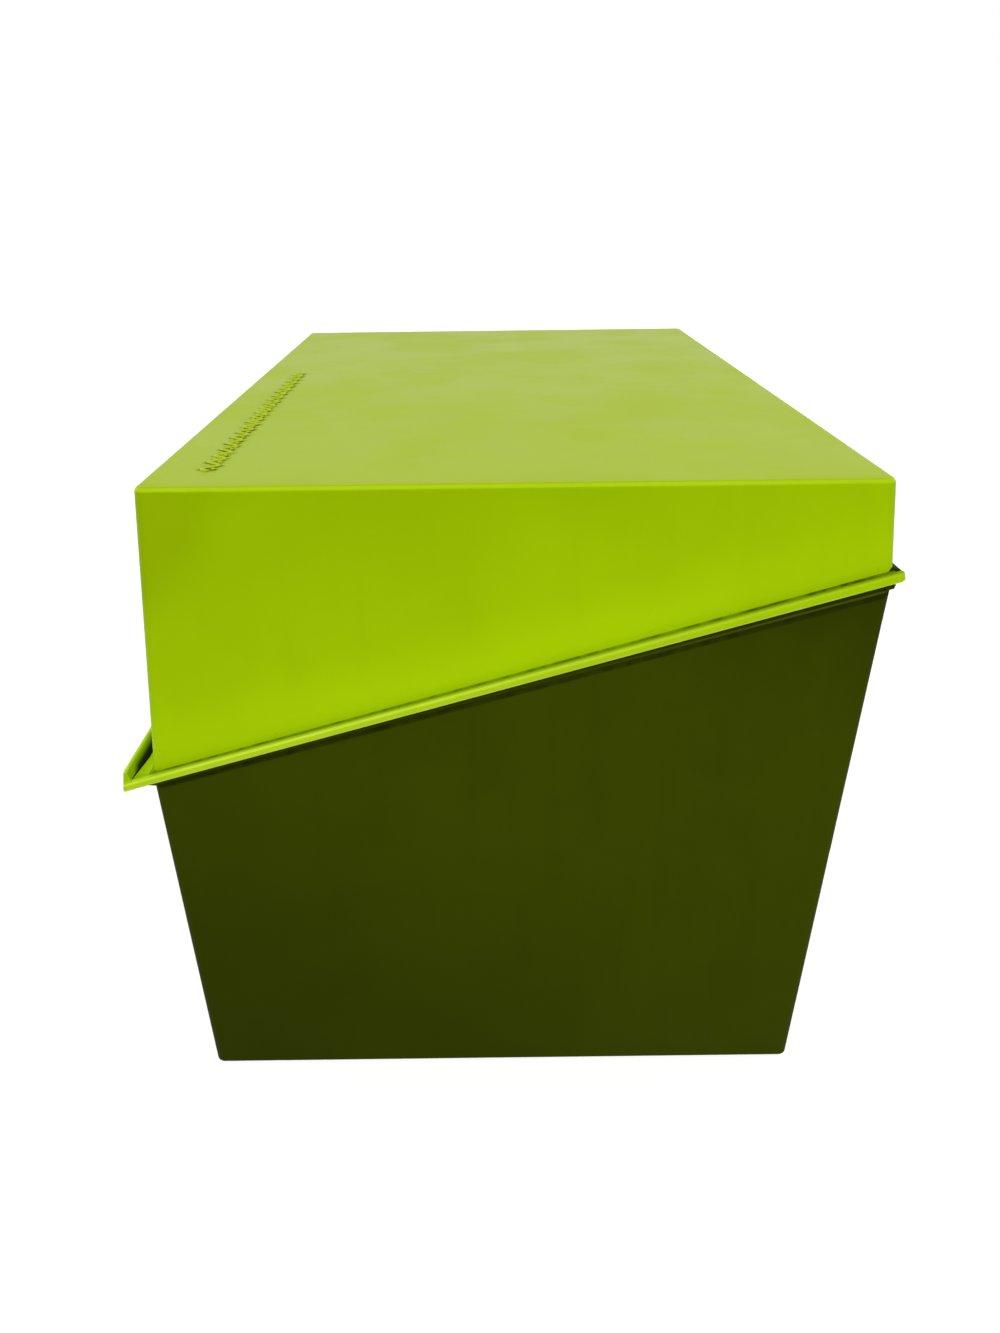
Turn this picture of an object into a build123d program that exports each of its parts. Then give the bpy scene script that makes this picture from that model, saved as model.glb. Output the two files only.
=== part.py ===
from build123d import *
import os
from math import cos, radians, sin, tan

# Two-tone moulded card box: a tapered base, a cap lid and the rod of the hinge between them.
# Millimetres and degrees. X runs side to side, Y from the front (-) to the hinge (+), Z up.
# The origin is the middle of the base's underside.

# Whole box
box_height = 108.5
wall = 2.0
corner_radius = 1.4
inner_radius = 1.0

# Base, measured across its underside, with the lean of each wall
base_width = 164.0
base_depth = 104.9
base_side_draft = 0.75
base_front_draft = 2.17
base_back_draft = 2.48
floor_thickness = 2.2
base_edge_radius = 1.0

# Parting plane: its height at the middle of the box and its rise towards the hinge
rim_height = 78.4
rim_slope = 16.05

# Lid walls, leaning in towards the top
lid_side_draft = 0.75
lid_front_draft = 4.93
lid_back_draft = 6.7
lid_front_step = 0.36
lid_top_thickness = 2.2
lid_edge_radius = 0.7

# Rim: the lid's flange sits on the base's flange, with a bead above its edge and a skirt below it
lid_flange_reach = 1.6
lid_flange_thickness = 0.8
flange_round = 0.45
flange_foot_round = 0.2
skirt_depth = 0.7
skirt_wall = 0.6
skirt_gap = 0.2
bead_width = 0.65
groove_depth = 0.3

# Base flange: a thin edge over a sloping foot, with a thick end where the lid's ears meet it
base_flange_front = 0.95
base_flange_edge = 0.9
base_flange_depth = 2.1
base_flange_root = 0.3
stop_block_depth = 1.7
stop_block_length = 2.0

# Finger lip along the front of the lid, and the blind trough behind it that narrows towards its ends
lip_reach = 4.95
lip_root = 2.75
lip_rise = 1.8
lip_lean = 25.5
lip_top_width = 0.6
lip_round = 0.25
lip_foot_round = 0.4
lip_end_round = 0.5
ledge_width = 1.85
ledge_taper = 6.0
trough_end_wall = 0.6
trough_floor = 0.4

# Hinge: knuckles on a rod, its axis just behind the back walls and just below the parting plane
rod_radius = 0.6
knuckle_radius = 1.15
hinge_set_back = 0.2
hinge_drop = 0.47
hinge_relief = 0.3
knuckle_gap = 0.3
lid_knuckle_length = 22.0
lid_knuckle_spacing = 64.0
lug_rise = 1.4
lug_angle = 35.0
rod_grip = 0.02
rod_clearance = 0.05
rod_end_gap = 0.4
ear_width = 1.95
ear_reach = 0.8
ear_round = 1.0
ear_step = 0.55
lid_open = 110.0
stop_gap = 0.05

# Parting plane, with local x across the box and local y up the slope towards the hinge
rise = tan(radians(rim_slope))
level = cos(radians(rim_slope))
rim_plane = Plane((0, 0, rim_height), x_dir=(1, 0, 0), z_dir=(0, -sin(radians(rim_slope)), level))
rim_normal = Axis(rim_plane.origin, rim_plane.z_dir)

# Lines where the walls meet the parting plane
front_lean = tan(radians(base_front_draft))
back_lean = tan(radians(base_back_draft))
rim_front = -(base_depth / 2 + rim_height * front_lean) / (1 + rise * front_lean)
rim_back = (base_depth / 2 + rim_height * back_lean) / (1 - rise * back_lean)
rim_half = base_width / 2 + rim_height * tan(radians(base_side_draft))
lid_rim_front = rim_front + lid_front_step


def rim_z(y):
    """Height of the parting plane at a distance from the middle of the box."""
    return rim_height + y * rise


# Flange outlines on the parting plane
lid_flange_half = rim_half + lid_flange_reach
base_flange_half = lid_flange_half - skirt_wall - skirt_gap
base_flange_line = rim_front - base_flange_front
root_half = rim_half - base_flange_root

# Hinge axis and the stretches along it
hinge_y = rim_back + hinge_set_back
hinge_z = rim_z(hinge_y) - hinge_drop
flange_back = hinge_y - hinge_drop * sin(radians(rim_slope)) * level - stop_gap
ear_end = hinge_y + ear_reach
ear_inside = lid_flange_half - ear_width
rail_half = ear_inside - knuckle_gap
relief_radius = knuckle_radius + hinge_relief
lid_knuckles = (-lid_knuckle_spacing / 2, lid_knuckle_spacing / 2)
window_length = lid_knuckle_length + 2 * knuckle_gap
middle_knuckle = lid_knuckle_spacing - lid_knuckle_length
end_knuckle = ear_inside - lid_knuckle_spacing / 2 - lid_knuckle_length / 2
base_knuckles = (
    (-(ear_inside - end_knuckle / 2), end_knuckle),
    (0, middle_knuckle),
    (ear_inside - end_knuckle / 2, end_knuckle),
)

# Faces on the base that the undersides of the lid's ears meet when the lid is fully open
stop_lean = radians(rim_slope - lid_open)
ear_drop = skirt_depth - hinge_drop * level
stop_plane = Plane((0, hinge_y, hinge_z), x_dir=(1, 0, 0), z_dir=(0, sin(stop_lean), -cos(stop_lean)))
stop_plane = stop_plane.offset(ear_drop + stop_gap)
stop_cut = 2 * knuckle_radius
stop_block_line = hinge_y - stop_block_length

# Section of the finger lip: local x outwards from the lid's front wall, local y off the parting plane
lip_plane = Plane(
    (0, lid_rim_front, rim_z(lid_rim_front)),
    x_dir=(0, -level, -sin(radians(rim_slope))),
    z_dir=(-1, 0, 0),
)
lip_top = lid_flange_thickness + lip_rise
lip_crest = lip_reach - (lip_top + skirt_depth) * tan(radians(lip_lean))
lip_up = rim_plane.z_dir * cos(radians(lip_lean)) + rim_plane.y_dir * sin(radians(lip_lean))
lip_line = lid_rim_front / level - lip_reach
trough_end = lid_flange_half - trough_end_wall


def outline(z, front, back, half_width):
    """Level rectangle from a front line to a back line."""
    with BuildSketch(Plane.XY.offset(z)) as section:
        with Locations((0, (front + back) / 2)):
            Rectangle(2 * half_width, back - front)
    return section.sketch


def base_outline(z, inset):
    """Section of the base's walls at a height, inset from their outer faces."""
    front = -base_depth / 2 - z * front_lean + inset
    back = base_depth / 2 + z * back_lean - inset
    half_width = base_width / 2 + z * tan(radians(base_side_draft)) - inset
    return outline(z, front, back, half_width)


def lid_outline(z, inset):
    """Section of the lid's walls at a height, inset from their outer faces."""
    front = lid_rim_front + (z - rim_z(lid_rim_front)) * tan(radians(lid_front_draft)) + inset
    back = rim_back - (z - rim_z(rim_back)) * tan(radians(lid_back_draft)) - inset
    half_width = rim_half - (z - rim_height) * tan(radians(lid_side_draft)) - inset
    return outline(z, front, back, half_width)


def upright(edge):
    """True for the edges between two walls."""
    return abs((edge @ 1 - edge @ 0).Z) > edge.length / 2


def flange_side(edge):
    """True for the long edges down the sides of the lid's flange."""
    return edge.length > base_depth / 2 and abs(abs(edge.center().X) - lid_flange_half) < flange_round / 2


def flange_outline(n, front, back, half_width, back_round=0.0):
    """Rectangle at a height over the parting plane, between a front and a back line of the box."""
    with BuildSketch(rim_plane.offset(n)) as section:
        with Locations((0, (front + back) / 2 / level)):
            Rectangle(2 * half_width, (back - front) / level)
        if back_round > 0:
            fillet(section.vertices().group_by(Axis.Y)[-1], back_round)
    return section.sketch


def hinge_cylinder(x, length, radius):
    """Cylinder round the hinge axis, by the middle of its length."""
    return Location((x, hinge_y, hinge_z)) * Cylinder(radius, length, rotation=(0, 90, 0), mode=Mode.PRIVATE)


# Base: outer block up to the parting plane
with BuildPart() as base_block:
    loft(sections=[base_outline(0, 0), base_outline(box_height, 0)], ruled=True)
    fillet(base_block.edges().filter_by(upright), corner_radius)
    fillet(base_block.faces().sort_by(Axis.Z)[0].edges(), base_edge_radius)
    split(bisect_by=rim_plane, keep=Keep.BOTTOM)

# Base: the hollow that holds the cards
with BuildPart() as base_hollow:
    loft(sections=[base_outline(floor_thickness, wall), base_outline(box_height, wall)], ruled=True)
    fillet(base_hollow.edges().filter_by(upright), inner_radius)
    fillet(base_hollow.faces().sort_by(Axis.Z)[0].edges(), inner_radius)

# Base: flange, hinge rail with windows for the lid's knuckles, and the end faces that stop the lid
with BuildPart() as base:
    add(base_block.part)
    extrude(flange_outline(0, base_flange_line, flange_back, base_flange_half), amount=-base_flange_edge)
    flange_edge = flange_outline(-base_flange_edge, base_flange_line, flange_back, base_flange_half)
    flange_root = flange_outline(-base_flange_depth, rim_front + base_flange_root, flange_back, root_half)
    loft(sections=[flange_edge, flange_root], ruled=True)
    extrude(flange_outline(0, stop_block_line, flange_back, base_flange_half), amount=-stop_block_depth)
    add(base_hollow.part, mode=Mode.SUBTRACT)
    for side in (-1, 1):
        with BuildSketch(stop_plane):
            with Locations((side * (rail_half + stop_cut / 2), 0)):
                Rectangle(stop_cut, 2 * base_flange_depth + stop_cut)
        extrude(amount=-stop_cut, mode=Mode.SUBTRACT)
    add(hinge_cylinder(0, 2 * rail_half, knuckle_radius))
    for x in lid_knuckles:
        add(hinge_cylinder(x, window_length, relief_radius), mode=Mode.SUBTRACT)
    add(hinge_cylinder(0, 2 * rail_half, rod_radius + rod_grip), mode=Mode.SUBTRACT)
base.part.label = "base"

# Lid: outer block down to the parting plane
with BuildPart() as lid_block:
    loft(sections=[lid_outline(0, 0), lid_outline(box_height, 0)], ruled=True)
    fillet(lid_block.edges().filter_by(upright), corner_radius)
    fillet(lid_block.faces().sort_by(Axis.Z)[-1].edges(), lid_edge_radius)
    split(bisect_by=rim_plane, keep=Keep.TOP)

# Lid: the hollow over the cards
with BuildPart() as lid_hollow:
    loft(sections=[lid_outline(0, wall), lid_outline(box_height - lid_top_thickness, wall)], ruled=True)
    fillet(lid_hollow.edges().filter_by(upright), inner_radius)
    fillet(lid_hollow.faces().sort_by(Axis.Z)[-1].edges(), inner_radius)

# Lid: flange with its finger lip, walls, and the lugs that turn on the rod
with BuildPart() as lid:
    bar = skirt_depth + lid_flange_thickness
    bar_front = lid_rim_front - (lip_root + lip_top_width / 2) * level
    extrude(flange_outline(-skirt_depth, bar_front, ear_end, lid_flange_half, ear_round), amount=bar)
    fillet(lid.edges().filter_by(flange_side).group_by(rim_normal)[-1], flange_round)
    fillet(lid.edges().filter_by(flange_side).group_by(rim_normal)[0], flange_foot_round)
    with BuildSketch(lip_plane) as lip_profile:
        with BuildLine():
            Polyline(
                (lip_root, lid_flange_thickness),
                (lip_root, -skirt_depth),
                (lip_reach, -skirt_depth),
                (lip_crest, lip_top),
                (lip_crest - lip_top_width, lip_top),
                close=True,
            )
        make_face()
        fillet(lip_profile.vertices().group_by(Axis.Y)[-1], lip_round)
        fillet(lip_profile.vertices().sort_by(Axis.X)[-1], lip_foot_round)
    extrude(amount=lid_flange_half, both=True)
    with BuildSketch(rim_plane.offset(-skirt_depth)):
        for side in (-1, 1):
            with Locations((side * lid_flange_half, lip_line)):
                Rectangle(2 * lip_end_round, 2 * lip_end_round)
            with Locations((side * (lid_flange_half - lip_end_round), lip_line + lip_end_round)):
                Circle(lip_end_round, mode=Mode.SUBTRACT)
    extrude(amount=2 * lip_top, dir=lip_up, mode=Mode.SUBTRACT)
    with BuildSketch(rim_plane.offset(trough_floor - skirt_depth)):
        with Locations((0, lid_rim_front / level)):
            Polygon(
                (ledge_taper - trough_end, -ledge_width),
                (trough_end - ledge_taper, -ledge_width),
                (trough_end, -lip_root),
                (-trough_end, -lip_root),
                align=None,
            )
    extrude(amount=bar - trough_floor, mode=Mode.SUBTRACT)
    extrude(
        flange_outline(-skirt_depth, rim_back, ear_end + ear_round, ear_inside),
        amount=bar,
        mode=Mode.SUBTRACT,
    )
    extrude(
        flange_outline(lid_flange_thickness, lid_rim_front, rim_back, lid_flange_half - bead_width),
        amount=-groove_depth,
        mode=Mode.SUBTRACT,
    )
    extrude(
        flange_outline(lid_flange_thickness, rim_back, ear_end + ear_round, lid_flange_half - bead_width),
        amount=-ear_step,
        mode=Mode.SUBTRACT,
    )
    add(lid_block.part)
    extrude(
        flange_outline(-skirt_depth, base_flange_line - skirt_gap, hinge_y, base_flange_half + skirt_gap),
        amount=skirt_depth,
        mode=Mode.SUBTRACT,
    )
    add(lid_hollow.part, mode=Mode.SUBTRACT)
    for x, length in base_knuckles:
        add(hinge_cylinder(x, length, relief_radius), mode=Mode.SUBTRACT)
    for x in lid_knuckles:
        with BuildSketch(Plane.YZ.offset(x - lid_knuckle_length / 2)):
            with Locations((hinge_y, hinge_z)):
                Circle(knuckle_radius)
                Polygon(
                    (knuckle_radius * cos(radians(lug_angle)), knuckle_radius * sin(radians(lug_angle))),
                    (-wall / 4, knuckle_radius + lug_rise),
                    (-wall / 2, knuckle_radius),
                    (-wall / 2, knuckle_radius / 2),
                    align=None,
                )
        extrude(amount=lid_knuckle_length)
    add(hinge_cylinder(0, 2 * rail_half, rod_radius + rod_clearance), mode=Mode.SUBTRACT)
lid.part.label = "lid"

# Rod, held between the lid's two ears
with BuildPart() as hinge_rod:
    add(hinge_cylinder(0, 2 * (rail_half - rod_end_gap), rod_radius))
hinge_rod.part.label = "hinge_rod"

os.makedirs("parts", exist_ok=True)
for piece in (base, lid, hinge_rod):
    export_step(piece.part, f"parts/{piece.part.label}.step")
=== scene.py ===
"""Looks of a two-tone moulded card box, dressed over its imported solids.

The solids carry every shape of the box. This file gives each of them its finish, adds the raised
border that is moulded on the lid's top, and sets the floor, the lamps and the camera.
Everything is in metres, in the frame of the solids: X across the box, +Y to the hinge, Z up.
"""

import logging
from dataclasses import dataclass, replace
from enum import Enum
from functools import partial, reduce
from math import cos, pi, radians, sin

import bpy
import numpy as np
from mathutils import Matrix, Vector


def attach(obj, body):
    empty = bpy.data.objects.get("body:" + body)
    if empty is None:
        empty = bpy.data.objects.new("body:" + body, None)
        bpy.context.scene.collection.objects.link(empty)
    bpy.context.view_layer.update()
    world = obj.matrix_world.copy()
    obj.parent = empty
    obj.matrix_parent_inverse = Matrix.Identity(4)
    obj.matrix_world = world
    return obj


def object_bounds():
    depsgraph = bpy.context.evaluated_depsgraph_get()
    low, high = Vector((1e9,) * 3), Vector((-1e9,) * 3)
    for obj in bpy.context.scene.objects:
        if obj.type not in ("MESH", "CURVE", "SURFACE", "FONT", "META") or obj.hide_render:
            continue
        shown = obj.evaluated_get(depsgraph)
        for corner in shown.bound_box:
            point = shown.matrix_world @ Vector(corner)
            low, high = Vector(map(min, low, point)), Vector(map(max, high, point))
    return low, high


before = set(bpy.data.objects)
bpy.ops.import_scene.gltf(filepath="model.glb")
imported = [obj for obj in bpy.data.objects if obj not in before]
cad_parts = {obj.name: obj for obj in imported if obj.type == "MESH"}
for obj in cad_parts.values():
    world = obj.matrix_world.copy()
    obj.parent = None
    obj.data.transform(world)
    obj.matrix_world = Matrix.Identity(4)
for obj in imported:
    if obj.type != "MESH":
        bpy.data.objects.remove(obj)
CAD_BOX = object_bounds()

LOG = logging.getLogger("card_box")
MM = 0.001
Colour = tuple[float, float, float]
Point = tuple[float, float, float]
Socket = bpy.types.NodeSocket


class Shading(Enum):
    """How the faces of a new piece are shaded."""

    SMOOTH = True
    FLAT = False


class Body(Enum):
    """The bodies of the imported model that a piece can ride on."""

    BASE = "base"
    LID = "lid"


class Slot(Enum):
    """The record's material slots."""

    BASE = "base_plastic"
    LID = "lid_plastic"
    ROD = "rod_steel"


@dataclass(frozen=True)
class PartingPlane:
    """The sloping plane on which the lid meets the base.

    Attributes:
        height: Height of the plane at the middle of the box.
        slope: Its rise towards the hinge, in degrees.
    """

    height: float = 78.4 * MM
    slope: float = 16.05

    @property
    def origin(self) -> Point:
        """Point of the plane over the middle of the box."""
        return (0.0, 0.0, self.height)

    @property
    def normal(self) -> Point:
        """Unit vector off the plane, towards the lid."""
        return (0.0, -sin(radians(self.slope)), cos(radians(self.slope)))

    @property
    def forward(self) -> Point:
        """Unit vector down the plane, towards the front of the box."""
        return (0.0, -cos(radians(self.slope)), -sin(radians(self.slope)))


@dataclass(frozen=True)
class Border:
    """Line of waves and beads that is moulded on the lid's top.

    Attributes:
        near: Its end towards +X.
        far: Its end towards -X.
        line: Its middle line, from the middle of the box.
        swing: Distance of the wave's crests from the middle line.
        wave_length: Length of one wave.
        bead_share: Distance of the beads from the middle line, in parts of the swing.
    """

    near: float = 74.0 * MM
    far: float = -12.2 * MM
    line: float = -42.2 * MM
    swing: float = 1.0 * MM
    wave_length: float = 4.1 * MM
    bead_share: float = 0.62

    @property
    def pace(self) -> float:
        """Radians of the wave per metre."""
        return 2.0 * pi / self.wave_length

    @property
    def waves(self) -> int:
        """Number of whole waves."""
        return round((self.near - self.far) / self.wave_length)


@dataclass(frozen=True)
class Step:
    """Smooth change from one share to another over a range of values.

    Attributes:
        start: Value where the change begins.
        end: Value where it is complete.
        low: Share before it.
        high: Share after it.
    """

    start: float
    end: float
    low: float = 0.0
    high: float = 1.0


@dataclass(frozen=True)
class Band:
    """Range of values with soft edges outside it.

    Attributes:
        low: Lower limit.
        high: Upper limit.
        edge: Width of the soft edges.
    """

    low: float
    high: float
    edge: float


@dataclass(frozen=True)
class Reach:
    """Smooth growth of a share along a direction of the frame.

    Attributes:
        origin: Point where it begins.
        towards: Unit vector along which it grows.
        length: Distance over which it grows.
    """

    origin: Point
    towards: Point
    length: float


@dataclass(frozen=True)
class Mottle:
    """Patches cut out of a smooth noise.

    Attributes:
        scale: Features of the noise per metre, before the stretch.
        detail: Octaves added to it.
        step: Noise values at the edge of a patch, and the shares outside and inside it.
        stretch: Factors on the coordinates, where the patches are longer one way.
    """

    scale: float
    detail: float
    step: Step
    stretch: Point | None = None


@dataclass(frozen=True)
class Relief:
    """Fine unevenness of a surface.

    Attributes:
        strength: Share of it that shows.
        depth: Height of its peaks over its hollows.
    """

    strength: float
    depth: float


class Graph:
    """A material's node tree, with the few kinds of node that the finishes share."""

    def __init__(self, name: str) -> None:
        """Starts an empty material.

        Args:
            name: Name of the material.
        """
        self.material = bpy.data.materials.new(name)
        self.material.use_nodes = True
        self.tree = self.material.node_tree
        self.tree.nodes.clear()
        output = self.tree.nodes.new("ShaderNodeOutputMaterial")
        self.shader = self.tree.nodes.new("ShaderNodeBsdfPrincipled")
        self.tree.links.new(self.shader.outputs["BSDF"], output.inputs["Surface"])
        self.place = self.tree.nodes.new("ShaderNodeTexCoord").outputs["Object"]

    def put(self, socket: Socket, value: object) -> None:
        """Links an output to an input, or sets the input to a plain value.

        Args:
            socket: Input that takes the value.
            value: Output socket, number, vector or colour.
        """
        if isinstance(value, bpy.types.NodeSocket):
            self.tree.links.new(value, socket)
        else:
            socket.default_value = value

    def scaled(self, factors: Point) -> Socket:
        """Object coordinates stretched on each axis.

        Args:
            factors: Factors on X, Y and Z.

        Returns:
            The stretched coordinates.
        """
        mapping = self.tree.nodes.new("ShaderNodeMapping")
        self.put(mapping.inputs["Vector"], self.place)
        mapping.inputs["Scale"].default_value = factors
        return mapping.outputs["Vector"]

    def noise(self, place: Socket, scale: float, detail: float) -> Socket:
        """Smooth noise from 0 to 1.

        Args:
            place: Coordinates that it reads.
            scale: Features per unit of them.
            detail: Octaves added to it.

        Returns:
            The noise value.
        """
        node = self.tree.nodes.new("ShaderNodeTexNoise")
        self.put(node.inputs["Vector"], place)
        node.inputs["Scale"].default_value = scale
        node.inputs["Detail"].default_value = detail
        return node.outputs["Fac"]

    def cells(self, scale: float) -> Socket:
        """Distance to the nearest of randomly strewn points, in units of their spacing.

        Args:
            scale: Points per metre.

        Returns:
            The distance.
        """
        node = self.tree.nodes.new("ShaderNodeTexVoronoi")
        self.put(node.inputs["Vector"], self.place)
        node.inputs["Scale"].default_value = scale
        return node.outputs["Distance"]

    def math(self, operation: str, first: object, second: object = 0.0) -> Socket:
        """Arithmetic on two values.

        Args:
            operation: Blender's name for it.
            first: Number or output.
            second: Number or output.

        Returns:
            The result.
        """
        node = self.tree.nodes.new("ShaderNodeMath")
        node.operation = operation
        self.put(node.inputs[0], first)
        self.put(node.inputs[1], second)
        return node.outputs[0]

    def total(self, *values: object) -> Socket:
        """All the values added together."""
        return reduce(partial(self.math, "ADD"), values)

    def product(self, *values: object) -> Socket:
        """All the values multiplied together."""
        return reduce(partial(self.math, "MULTIPLY"), values)

    def most(self, *values: object) -> Socket:
        """The largest of the values."""
        return reduce(partial(self.math, "MAXIMUM"), values)

    def step(self, value: Socket, step: Step) -> Socket:
        """Smooth step of a value.

        Args:
            value: Output that it reads.
            step: Range of the step and its shares.

        Returns:
            The share.
        """
        node = self.tree.nodes.new("ShaderNodeMapRange")
        node.interpolation_type = "SMOOTHSTEP"
        self.put(node.inputs["Value"], value)
        node.inputs["From Min"].default_value = step.start
        node.inputs["From Max"].default_value = step.end
        node.inputs["To Min"].default_value = step.low
        node.inputs["To Max"].default_value = step.high
        return node.outputs["Result"]

    def band(self, value: Socket, band: Band) -> Socket:
        """Smooth band, one within its limits and nothing beyond their soft edges.

        Args:
            value: Output that it reads.
            band: Limits and edges.

        Returns:
            The share, from 0 to 1.
        """
        rise = self.step(value, Step(band.low - band.edge, band.low))
        fall = self.step(value, Step(band.high, band.high + band.edge, 1.0, 0.0))
        return self.product(rise, fall)

    def distance(self, origin: Point, direction: Point) -> Socket:
        """Distance from a point, measured along a direction.

        Args:
            origin: The point.
            direction: Unit vector.

        Returns:
            The distance in metres.
        """
        offset = self.tree.nodes.new("ShaderNodeVectorMath")
        offset.operation = "SUBTRACT"
        self.put(offset.inputs[0], self.place)
        offset.inputs[1].default_value = origin
        dot = self.tree.nodes.new("ShaderNodeVectorMath")
        dot.operation = "DOT_PRODUCT"
        self.put(dot.inputs[0], offset.outputs["Vector"])
        dot.inputs[1].default_value = direction
        return dot.outputs["Value"]

    def reach(self, reach: Reach) -> Socket:
        """Share that grows along a direction, from 0 to 1."""
        return self.step(self.distance(reach.origin, reach.towards), Step(0.0, reach.length))

    def patches(self, mottle: Mottle) -> Socket:
        """Share of a pattern's patches."""
        place = self.scaled(mottle.stretch) if mottle.stretch else self.place
        return self.step(self.noise(place, mottle.scale, mottle.detail), mottle.step)

    def blend(self, factor: Socket, first: object, second: object) -> Socket:
        """Colour between two others.

        Args:
            factor: Share of the second colour.
            first: Colour or output.
            second: Colour or output.

        Returns:
            The blended colour.
        """
        node = self.tree.nodes.new("ShaderNodeMix")
        node.data_type = "RGBA"
        self.put(node.inputs["Factor"], factor)
        for socket, value in ((node.inputs["A"], first), (node.inputs["B"], second)):
            self.put(socket, (*value, 1.0) if isinstance(value, tuple) else value)
        return node.outputs["Result"]

    def axis(self, name: str) -> Socket:
        """One of the object coordinates.

        Args:
            name: X, Y or Z.

        Returns:
            The coordinate in metres.
        """
        node = self.tree.nodes.new("ShaderNodeSeparateXYZ")
        self.put(node.inputs["Vector"], self.place)
        return node.outputs[name]

    def bump(self, height: Socket, relief: Relief) -> None:
        """Turns the surface's normal by a height.

        Args:
            height: Output that gives the height, from 0 to 1.
            relief: Strength and depth of the bump.
        """
        node = self.tree.nodes.new("ShaderNodeBump")
        node.inputs["Strength"].default_value = relief.strength
        node.inputs["Distance"].default_value = relief.depth
        self.put(node.inputs["Height"], height)
        self.put(self.shader.inputs["Normal"], node.outputs["Normal"])


# Patterns of the moulded plastics
WIDE_CLOUDS = Mottle(14.0, 2.0, Step(0.38, 0.68, 0.0, 0.5))
FINE_CLOUDS = Mottle(90.0, 3.0, Step(0.40, 0.66, 0.0, 0.3))
WIPE_MARKS = Mottle(1.0, 2.0, Step(0.46, 0.70, 0.0, 0.2), stretch=(260.0, 260.0, 22.0))
# Patches of the graded darkening of the walls
DARKENED_PATCHES = Mottle(22.0, 2.0, Step(0.30, 0.70, 0.55, 1.0))
SCUFFED_PATCHES = Mottle(130.0, 3.0, Step(0.34, 0.62, 0.6, 1.0))
# Patches of the painted highlights along the rims and edges
HIGHLIGHT_PATCHES = Mottle(160.0, 3.0, Step(0.30, 0.62, 0.80, 1.0))
# Patches of the painted pale highlight along the rim's lower edge
FOOT_HIGHLIGHT_PATCHES = Mottle(260.0, 3.0, Step(0.34, 0.62, 0.45, 1.0))
# Breaks in the line of dirt and painted shade along the rim
RIM_LINE_BREAKS = Mottle(420.0, 3.0, Step(0.40, 0.66, 0.78, 1.22))
# Patches of the painted shade round the border on the lid's top
BORDER_SHADE_PATCHES = Mottle(900.0, 3.0, Step(0.36, 0.60, 0.25, 1.0))
ROUGH_PATCHES = Mottle(60.0, 3.0, Step(0.35, 0.70, -0.04, 0.04))
SPECK_PLACES = Mottle(38.0, 1.0, Step(0.54, 0.60))
SPECK_DOTS = Step(0.12, 0.22, 0.55, 0.0)
SPECKS_PER_METRE = 700.0
GRAINS_PER_METRE = 2600.0
GRAIN_DETAIL = 2.0
GRAIN_RELIEF = Relief(0.25, 0.02 * MM)
DIRT_DULLNESS = 0.2

# Heights over which the walls give way to the top
WALLS = Step(107.6 * MM, 108.2 * MM, 1.0, 0.0)

# Distances down the parting plane over which the rim's sides give way to the finger lip
RIM_END = Step(56.3 * MM, 56.9 * MM, 1.0, 0.0)

# Distances from the middle plane, and heights over the parting plane, between which specks lie
SPECK_SIDE = Band(81.3 * MM, 83.1 * MM, 0.2 * MM)
SPECK_HEIGHT = Band(0.7 * MM, 1.3 * MM, 0.5 * MM)


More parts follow.
